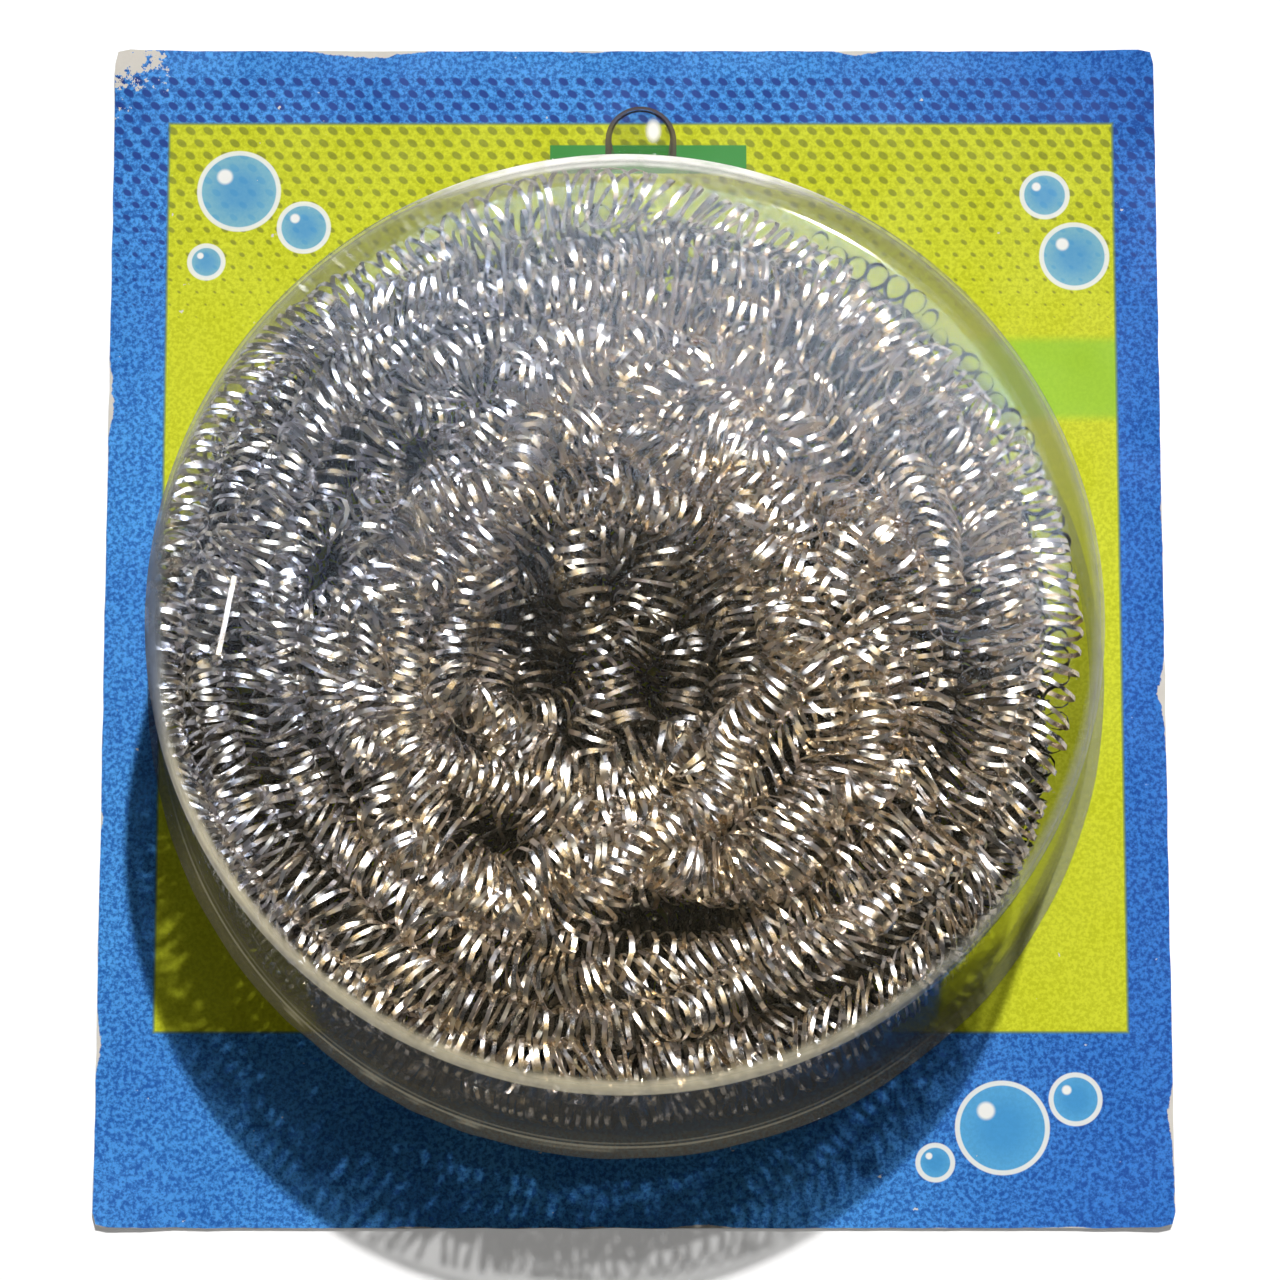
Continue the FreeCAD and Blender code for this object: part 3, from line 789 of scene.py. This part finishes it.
class SCRUBBER_OT_strands(bpy.types.Operator):
    """Wind the six strands of coiled steel ribbon"""

    bl_idname = "scrubber.strands"
    bl_label = "Steel Strands"
    bl_options = {"REGISTER", "UNDO"}

    def execute(self, context):
        settings = context.scene.scrubber_strands
        noise.seed_set(WOBBLE_SEED)
        steel = steel_material(settings)
        for plan in STRANDS:
            line = self.wild_line(plan, settings) if plan.wild else self.ring_line(plan, settings)
            pitch = settings.coil_pitch * (DENSE_PITCH if plan.dense else 1.0)
            strand = self.coil(plan, settings, line, settings.coil_radius, pitch)
            strand.name = strand.data.name = plan.node.replace("_strand", "_ribbon")
            if plan.node == "outer_upper_strand":
                loops = self.coil(plan, settings, self.loop_line(plan), LOOP_RADIUS, LOOP_PITCH, loose_painted_shade=True)
                # Mark the loose loops for their painted shade in the steel's material.
                shade = loops.data.attributes.new("loose_painted_shade", "FLOAT", "POINT")
                shade.data.foreach_set("value", [1.0] * len(loops.data.vertices))
                end = self.straight_end(settings)
                make_active(strand)
                loops.select_set(True)
                end.select_set(True)
                bpy.ops.object.join()
            self.press_inside(strand, context.scene.scrubber_cover)
            give_thickness(strand, "gauge", settings.ribbon_thickness, 0, 50)
            declare(strand, "scrubber", plan.node, steel)
        return {"FINISHED"}

    def bundle(self, plan, settings):
        """Ring radius and middle height of the bundle that the strand's node fills."""
        low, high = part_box(plan.node)
        return (high.x - low.x) / 2 - settings.curl_width / 2, (low.z + high.z) / 2

    def ring_line(self, plan, settings):
        """Points of the line that goes round the ring once for each slot."""
        ring, level = self.bundle(plan, settings)
        draw = random.Random(plan.seed)
        rounds = len(plan.slots)
        per_round = max(12, round(ring / RING_STEP))
        room_x = settings.curl_width / 2 - settings.coil_radius * 0.5
        room_z = settings.curl_height / 2 - settings.coil_radius
        start = draw.uniform(0, 2 * math.pi)
        phases = [draw.uniform(0, 2 * math.pi) for swing in SWINGS]
        points = []
        for number in range(rounds * per_round + 1):
            turn = number / per_round
            slot = min(int(turn), rounds - 1)
            after = min(slot + 1, rounds - 1)
            ease = max(0.0, (turn - slot - (1 - SLOT_CHANGE)) / SLOT_CHANGE)
            ease = ease * ease * (3 - 2 * ease)
            aside, up = (
                (here * (1 - ease) + there * ease + draw.gauss(0, plan.wander)) * MM
                for here, there in zip(plan.slots[slot], plan.slots[after])
            )
            for (rate, swing_aside, swing_up), phase in zip(SWINGS, phases):
                swing = 2 * math.pi * rate * turn + phase
                aside += swing_aside * MM * math.sin(swing)
                up += swing_up * MM * math.cos(1.31 * swing)
            aside = max(-room_x, min(room_x, aside))
            up = max(-room_z, min(room_z, up))
            angle = start + 2 * math.pi * turn
            x, y = (ring + aside) * math.cos(angle), (ring + aside) * math.sin(angle)
            points.append(self.guide_point(x, y, level + up, draw.uniform(0.78, 1.1)))
        return points

    def guide_point(self, x, y, height, size):
        """Point of a guide line, measured from the scrubber's middle, with the coil's size there."""
        return AXIS.x + LEAN.x + x, AXIS.y + LEAN.y + y, height, size

    def wild_line(self, plan, settings):
        """Points of a line that laps the edge of the middle if it swirls, then strays to and fro over it."""
        level = self.bundle(plan, settings)[1]
        wild = plan.wild
        draw = random.Random(plan.seed)
        spot = Vector(((wild.near + wild.far) / 2, 0.0)) * MM
        heading = 1.5
        rise = 0.0
        points = []
        lap = round(2 * math.pi * wild.far * MM / STRIDE) if wild.swirl else 0
        for number in range(lap):
            turn = 2 * math.pi * number / lap
            spot = towards(turn) * (wild.far + draw.gauss(0, 0.7)) * MM
            height = level + (1.8 + draw.gauss(0, 1.2)) * MM
            points.append(self.guide_point(*spot, height, draw.uniform(0.85, 1.1)))
        for number in range(wild.steps):
            outward = math.atan2(spot.y, spot.x)
            round_about = outward + math.pi / 2
            heading += draw.gauss(0, 0.5) + wild.swirl * self.turn_between(heading, round_about)
            step = towards(heading) * STRIDE
            ahead = (spot + step).length / MM
            if ahead > wild.far or ahead < wild.near:
                wanted = outward + math.pi if ahead > wild.far else outward
                turn = self.turn_between(heading, wanted)
                heading += math.copysign(min(SHARPEST_TURN, abs(turn)), turn)
                step = towards(heading) * STRIDE
            spot = spot + step
            rise = max(LOWEST_RISE, min(HIGHEST_RISE, rise + draw.gauss(0, 2.0)))
            sunk = max(0.0, SUNK_REACH - spot.length / MM) * SUNK_SLOPE
            height = level + (rise - sunk) * MM
            points.append(self.guide_point(*spot, height, draw.uniform(0.85, 1.1)))
        return points

    def turn_between(self, heading, wanted):
        """Shortest turn from one heading to the other."""
        return (wanted - heading + math.pi) % (2 * math.pi) - math.pi

    def loop_line(self, plan):
        """Points of the line along which loose loops stick out towards the upper right."""
        draw = random.Random(plan.seed + 100)
        points = []
        for number in range(LOOP_POINTS):
            angle = math.radians(LOOP_FIRST + LOOP_STEP * number)
            radius = (LOOP_REACH + draw.gauss(0, 0.5)) * MM
            x, y = AXIS.x + radius * math.cos(angle), AXIS.y + radius * math.sin(angle)
            points.append((x, y, (LOOP_HEIGHT + draw.gauss(0, 1.5)) * MM, draw.uniform(0.6, 1.1)))
        return points

    def coil(self, plan, settings, line, radius, pitch, loose_painted_shade=False):
        """Flat ribbon screwed into a long coil, made uneven, and bent along the line."""
        guide, run = self.guide(line)
        steps = settings.steps - DENSE_STEPS if plan.dense else settings.steps
        strand = self.straight_coil(settings, radius, pitch, int(run / pitch), steps)
        if loose_painted_shade:
            self.lay_over(strand, settings)
        else:
            self.unsettle(strand, settings, 50.0 * plan.seed)
        bend = strand.modifiers.new("lay", "CURVE")
        bend.object = guide
        bend.deform_axis = "POS_X"
        apply_modifiers(strand)
        bpy.data.objects.remove(guide)
        return strand

    def guide(self, line):
        """Smooth curve through the line's points, with the coil's size at each point."""
        deselect_all()
        bpy.ops.curve.primitive_nurbs_path_add(location=(0, 0, 0))
        guide = bpy.context.active_object
        spline = guide.data.splines[0]
        spline.points.add(len(line) - len(spline.points))
        for point, (x, y, z, size) in zip(spline.points, line):
            point.co = (x, y, z, 1.0)
            point.radius = size
        spline.order_u = 4
        spline.use_endpoint_u = True
        guide.data.resolution_u = 6
        guide.data.twist_mode = "Z_UP"
        return guide, spline.calc_length()

    def straight_coil(self, settings, radius, pitch, turns, steps):
        """Even coil along the X axis."""
        deselect_all()
        bpy.ops.mesh.primitive_plane_add(size=1, location=(0, 0, 0))
        strand = bpy.context.active_object
        start_editing()
        bpy.ops.mesh.select_all(action="DESELECT")
        mesh = bmesh.from_edit_mesh(strand.data)
        for vertex in mesh.verts:
            vertex.select = vertex.co.y < 0
        mesh.select_flush(True)
        bmesh.update_edit_mesh(strand.data)
        bpy.ops.mesh.delete(type="VERT")
        bpy.ops.mesh.select_all(action="SELECT")
        bpy.ops.transform.resize(value=(settings.ribbon_width, 1, 1), center_override=(0, 0, 0))
        bpy.ops.transform.translate(value=(0, radius - 0.5, 0))
        stop_editing()
        screw = strand.modifiers.new("coil", "SCREW")
        screw.axis = "X"
        screw.screw_offset = pitch
        screw.iterations = turns
        screw.steps = screw.render_steps = steps
        screw.use_smooth_shade = True
        apply_modifiers(strand)
        return strand

    def straight_end(self, settings):
        """Straight end of ribbon that lies over the turns at the left."""
        deselect_all()
        bpy.ops.mesh.primitive_grid_add(x_subdivisions=1, y_subdivisions=8, size=1, location=(0, 0, 0))
        end = bpy.context.active_object
        start_editing()
        bpy.ops.transform.resize(value=(settings.ribbon_width, END_LENGTH, 1), center_override=(0, 0, 0))
        bpy.ops.transform.rotate(value=END_TURN, orient_axis="Z", center_override=(0, 0, 0))
        bpy.ops.transform.rotate(value=END_TILT, orient_axis="X", center_override=(0, 0, 0))
        bpy.ops.transform.translate(value=END_PLACE)
        stop_editing()
        return end

    def ribbon_edges(self, strand):
        """Pairs of points that face each other across the ribbon."""
        points = list(strand.data.vertices)
        return zip(points[0::2], points[1::2])

    def unsettle(self, strand, settings, shift):
        """Bunch, lean, swell and tilt the turns without changing the ribbon's width."""
        half = settings.ribbon_width / 2
        for left, right in self.ribbon_edges(strand):
            x, y, z = (left.co + right.co) / 2
            along = x / MM + shift
            swell = 1 + stray(SWELLING, along)
            y, z = y * swell, z * swell
            lean = stray(LEANING_Y, along) * y + stray(LEANING_Z, along) * z
            wobble = noise.noise_vector((along * 0.3, y / MM * 0.2, z / MM * 0.2)) * WOBBLE
            middle = Vector((x + stray(BUNCHING, along) * MM + lean, y, z)) + wobble
            tilt = stray(TILTING, along)
            away = Vector((0, y, z)).normalized()
            aside = (Vector((1, 0, 0)) * math.cos(tilt) + away * math.sin(tilt)) * half
            left.co, right.co = middle - aside, middle + aside

    def lay_over(self, strand, settings):
        """Lean the turns over until they lie flat, with the ribbon on its edge."""
        half = settings.ribbon_width / 2
        for left, right in self.ribbon_edges(strand):
            x, y, z = (left.co + right.co) / 2
            middle = Vector((x + LOOP_LEAN * z, y, LOOP_FLAT * z))
            aside = Vector((0.5, 0.45 * math.sin(x * LOOP_TWIST), 0.75)) * half
            left.co, right.co = middle - aside, middle + aside

    def press_inside(self, strand, cover):
        """Flatten the turns that would pass through the cover or the card."""
        room = 0.2 * MM
        floor, ceiling = CARD_HIGH.z + room, COVER_HIGH.z - cover.wall - room
        for vertex in strand.data.vertices:
            spot = vertex.co
            spot.z = max(floor, min(ceiling, spot.z))
            aside = Vector((spot.x - AXIS.x, spot.y - AXIS.y))
            limit = self.cavity_radius(cover, spot.z) - room
            if aside.length > limit:
                aside *= limit / aside.length
                spot.x, spot.y = AXIS.x + aside.x, AXIS.y + aside.y

    def cavity_radius(self, cover, height):
        """Inside radius of the cover at this height."""
        base = FLANGE_RADIUS - cover.flange - cover.wall
        depth = COVER_HIGH.z - cover.wall - COVER_LOW.z
        wall = base - cover.draft * (height - COVER_LOW.z) / depth
        shoulder = cover.shoulder - cover.wall
        above = height - (COVER_LOW.z + depth - shoulder)
        if above > 0:
            wall -= shoulder - math.sqrt(max(0.0, shoulder * shoulder - above * above))
        return wall


# Direction to the key light, which stands beyond the card's top edge and a little to the right.
TO_KEY = Vector((5.0, 17.4, 35.0)).normalized()
KEY_SPREAD = math.radians(1.5)
# Camera: lens in mm, elevation, distance from its target, and the target.
LENS, ELEVATION, DISTANCE = 155.3, math.radians(78.5), 0.55
TARGET = Vector((0.57, -1.23, 0)) * MM
# Colours of the fill light and, in shiny surfaces, of the sky and of what hides it overhead.
FILL_HUE, SKY_HUE, STRAW_HUE = (1.0, 0.95, 0.85, 1), (0.68, 0.8, 1.0, 1), (1.0, 0.84, 0.54, 1)


class SCRUBBER_OT_stage(bpy.types.Operator):
    """Set the floor, the lights and the camera"""

    bl_idname = "scrubber.stage"
    bl_label = "Stage"
    bl_options = {"REGISTER", "UNDO"}

    def execute(self, context):
        settings = context.scene.scrubber_stage
        scene = context.scene
        scene.view_settings.view_transform = "Standard"
        self.floor(settings)
        self.world(scene, settings)
        self.lights(settings)
        self.camera(scene)
        return {"FINISHED"}

    def floor(self, settings):
        deselect_all()
        bpy.ops.mesh.primitive_plane_add(size=6, location=(0, 0, 0))
        floor = name_piece("floor")
        material, graph = new_material("pale_floor")
        ray = graph.node("LightPath")
        seen = graph.either(ray.outputs["Is Camera Ray"], ray.outputs["Is Glossy Ray"])
        seen = graph.either(seen, ray.outputs["Is Transmission Ray"])
        shader = graph.add("BsdfPrincipled", {
            "Base Color": rgba(settings.floor),
            "Roughness": 0.9,
            "Specular IOR Level": 0.1,
            "Emission Color": (1, 1, 1, 1),
            "Emission Strength": graph.times(seen, 0.16),
        })
        graph.finish(shader)
        floor.data.materials.append(material)

    def world(self, scene, settings):
        """Dim fill for matt surfaces, a soft sky in shiny ones and white for the camera."""
        world = bpy.data.worlds.new("soft_room")
        world.use_nodes = True
        scene.world = world
        graph = NodeGraph(world.node_tree)
        fill = graph.add("Background", {"Color": FILL_HUE, "Strength": settings.fill_strength})
        direction = graph.add("TexCoord", output=0)
        x, y, z = graph.split(direction)
        # Overhead, the sky is open beyond a ragged line and hidden by something straw-coloured before it.
        notch = graph.band(x, -0.03, -0.016, 0.08, 0.028)
        line = graph.scale(notch, 0.036, 0.19)
        opening = graph.ramp(graph.minus(y, line), -0.004, 0.006)
        overhead = graph.ramp(z, 0.88, 0.93)
        near = graph.add("VectorMath", {0: direction, 1: TO_KEY}, 1, operation="DOT_PRODUCT")
        cloud = graph.ramp(near, 0.955, 0.98, 4.5, 25.0)
        hidden = graph.minus(1.0, opening)
        above = graph.plus(graph.times(opening, cloud), graph.times(hidden, 1.2))
        halo = graph.ramp(near, 0.885, 0.965, 0.0, settings.halo_strength)
        halo = graph.times(halo, graph.ramp(z, 0.945, 0.915))
        glow = graph.plus(graph.scale(overhead, above, settings.sky_strength), halo)
        hue = graph.mix(graph.times(overhead, hidden), SKY_HUE, STRAW_HUE)
        sky = graph.add("Background", {"Color": hue, "Strength": glow})
        white = graph.add("Background", {"Color": (1, 1, 1, 1), "Strength": 1.0})
        ray = graph.node("LightPath")
        shiny = graph.either(ray.outputs["Is Glossy Ray"], ray.outputs["Is Transmission Ray"])
        light = graph.add("MixShader", {0: shiny, 1: fill, 2: sky})
        light = graph.add("MixShader", {0: ray.outputs["Is Camera Ray"], 1: light, 2: white})
        graph.finish(light, "OutputWorld")

    def lights(self, settings):
        key = bpy.data.lights.new("key", "SUN")
        key.energy = settings.key_strength
        key.angle = KEY_SPREAD
        key.color = (1.0, 0.97, 0.92)
        key_lamp = bpy.data.objects.new("key", key)
        bpy.context.scene.collection.objects.link(key_lamp)
        key_lamp.location = TO_KEY
        key_lamp.rotation_mode = "QUATERNION"
        key_lamp.rotation_quaternion = TO_KEY.to_track_quat("Z", "Y")

    def camera(self, scene):
        camera = bpy.data.cameras.new("camera")
        camera.sensor_width = 36
        camera.lens = LENS
        camera.clip_start = 0.02
        camera.clip_end = 20
        eye = bpy.data.objects.new("camera", camera)
        scene.collection.objects.link(eye)
        back = Vector((0, -math.cos(ELEVATION), math.sin(ELEVATION)))
        eye.location = TARGET + back * DISTANCE
        eye.rotation_mode = "QUATERNION"
        eye.rotation_quaternion = (-back).to_track_quat("-Z", "Y")
        scene.camera = eye


class SCRUBBER_PT_panel(bpy.types.Panel):
    """Settings and steps of the carded pot scrubber"""

    bl_idname = "SCRUBBER_PT_panel"
    bl_label = "Pot Scrubber"
    bl_space_type = "VIEW_3D"
    bl_region_type = "UI"
    bl_category = "Pot Scrubber"

    def draw(self, context):
        for operator, group, _ in STEPS:
            box = self.layout.box()
            settings = getattr(context.scene, group)
            for name in settings.__annotations__:
                box.prop(settings, name)
            box.operator(operator.bl_idname)


STEPS = (
    (SCRUBBER_OT_card, "scrubber_card", CardSettings),
    (SCRUBBER_OT_cover, "scrubber_cover", CoverSettings),
    (SCRUBBER_OT_strands, "scrubber_strands", StrandSettings),
    (SCRUBBER_OT_stage, "scrubber_stage", StageSettings),
)
CLASSES = (*(step[2] for step in STEPS), *(step[0] for step in STEPS), SCRUBBER_PT_panel)


def register():
    for item in CLASSES:
        bpy.utils.register_class(item)
    for _, name, settings in STEPS:
        setattr(bpy.types.Scene, name, PointerProperty(type=settings))


def unregister():
    for _, name, _ in STEPS:
        delattr(bpy.types.Scene, name)
    for item in reversed(CLASSES):
        bpy.utils.unregister_class(item)


def main():
    register()
    bpy.ops.scrubber.card()
    bpy.ops.scrubber.cover()
    bpy.ops.scrubber.strands()
    bpy.ops.scrubber.stage()


if __name__ == "__main__":
    main()
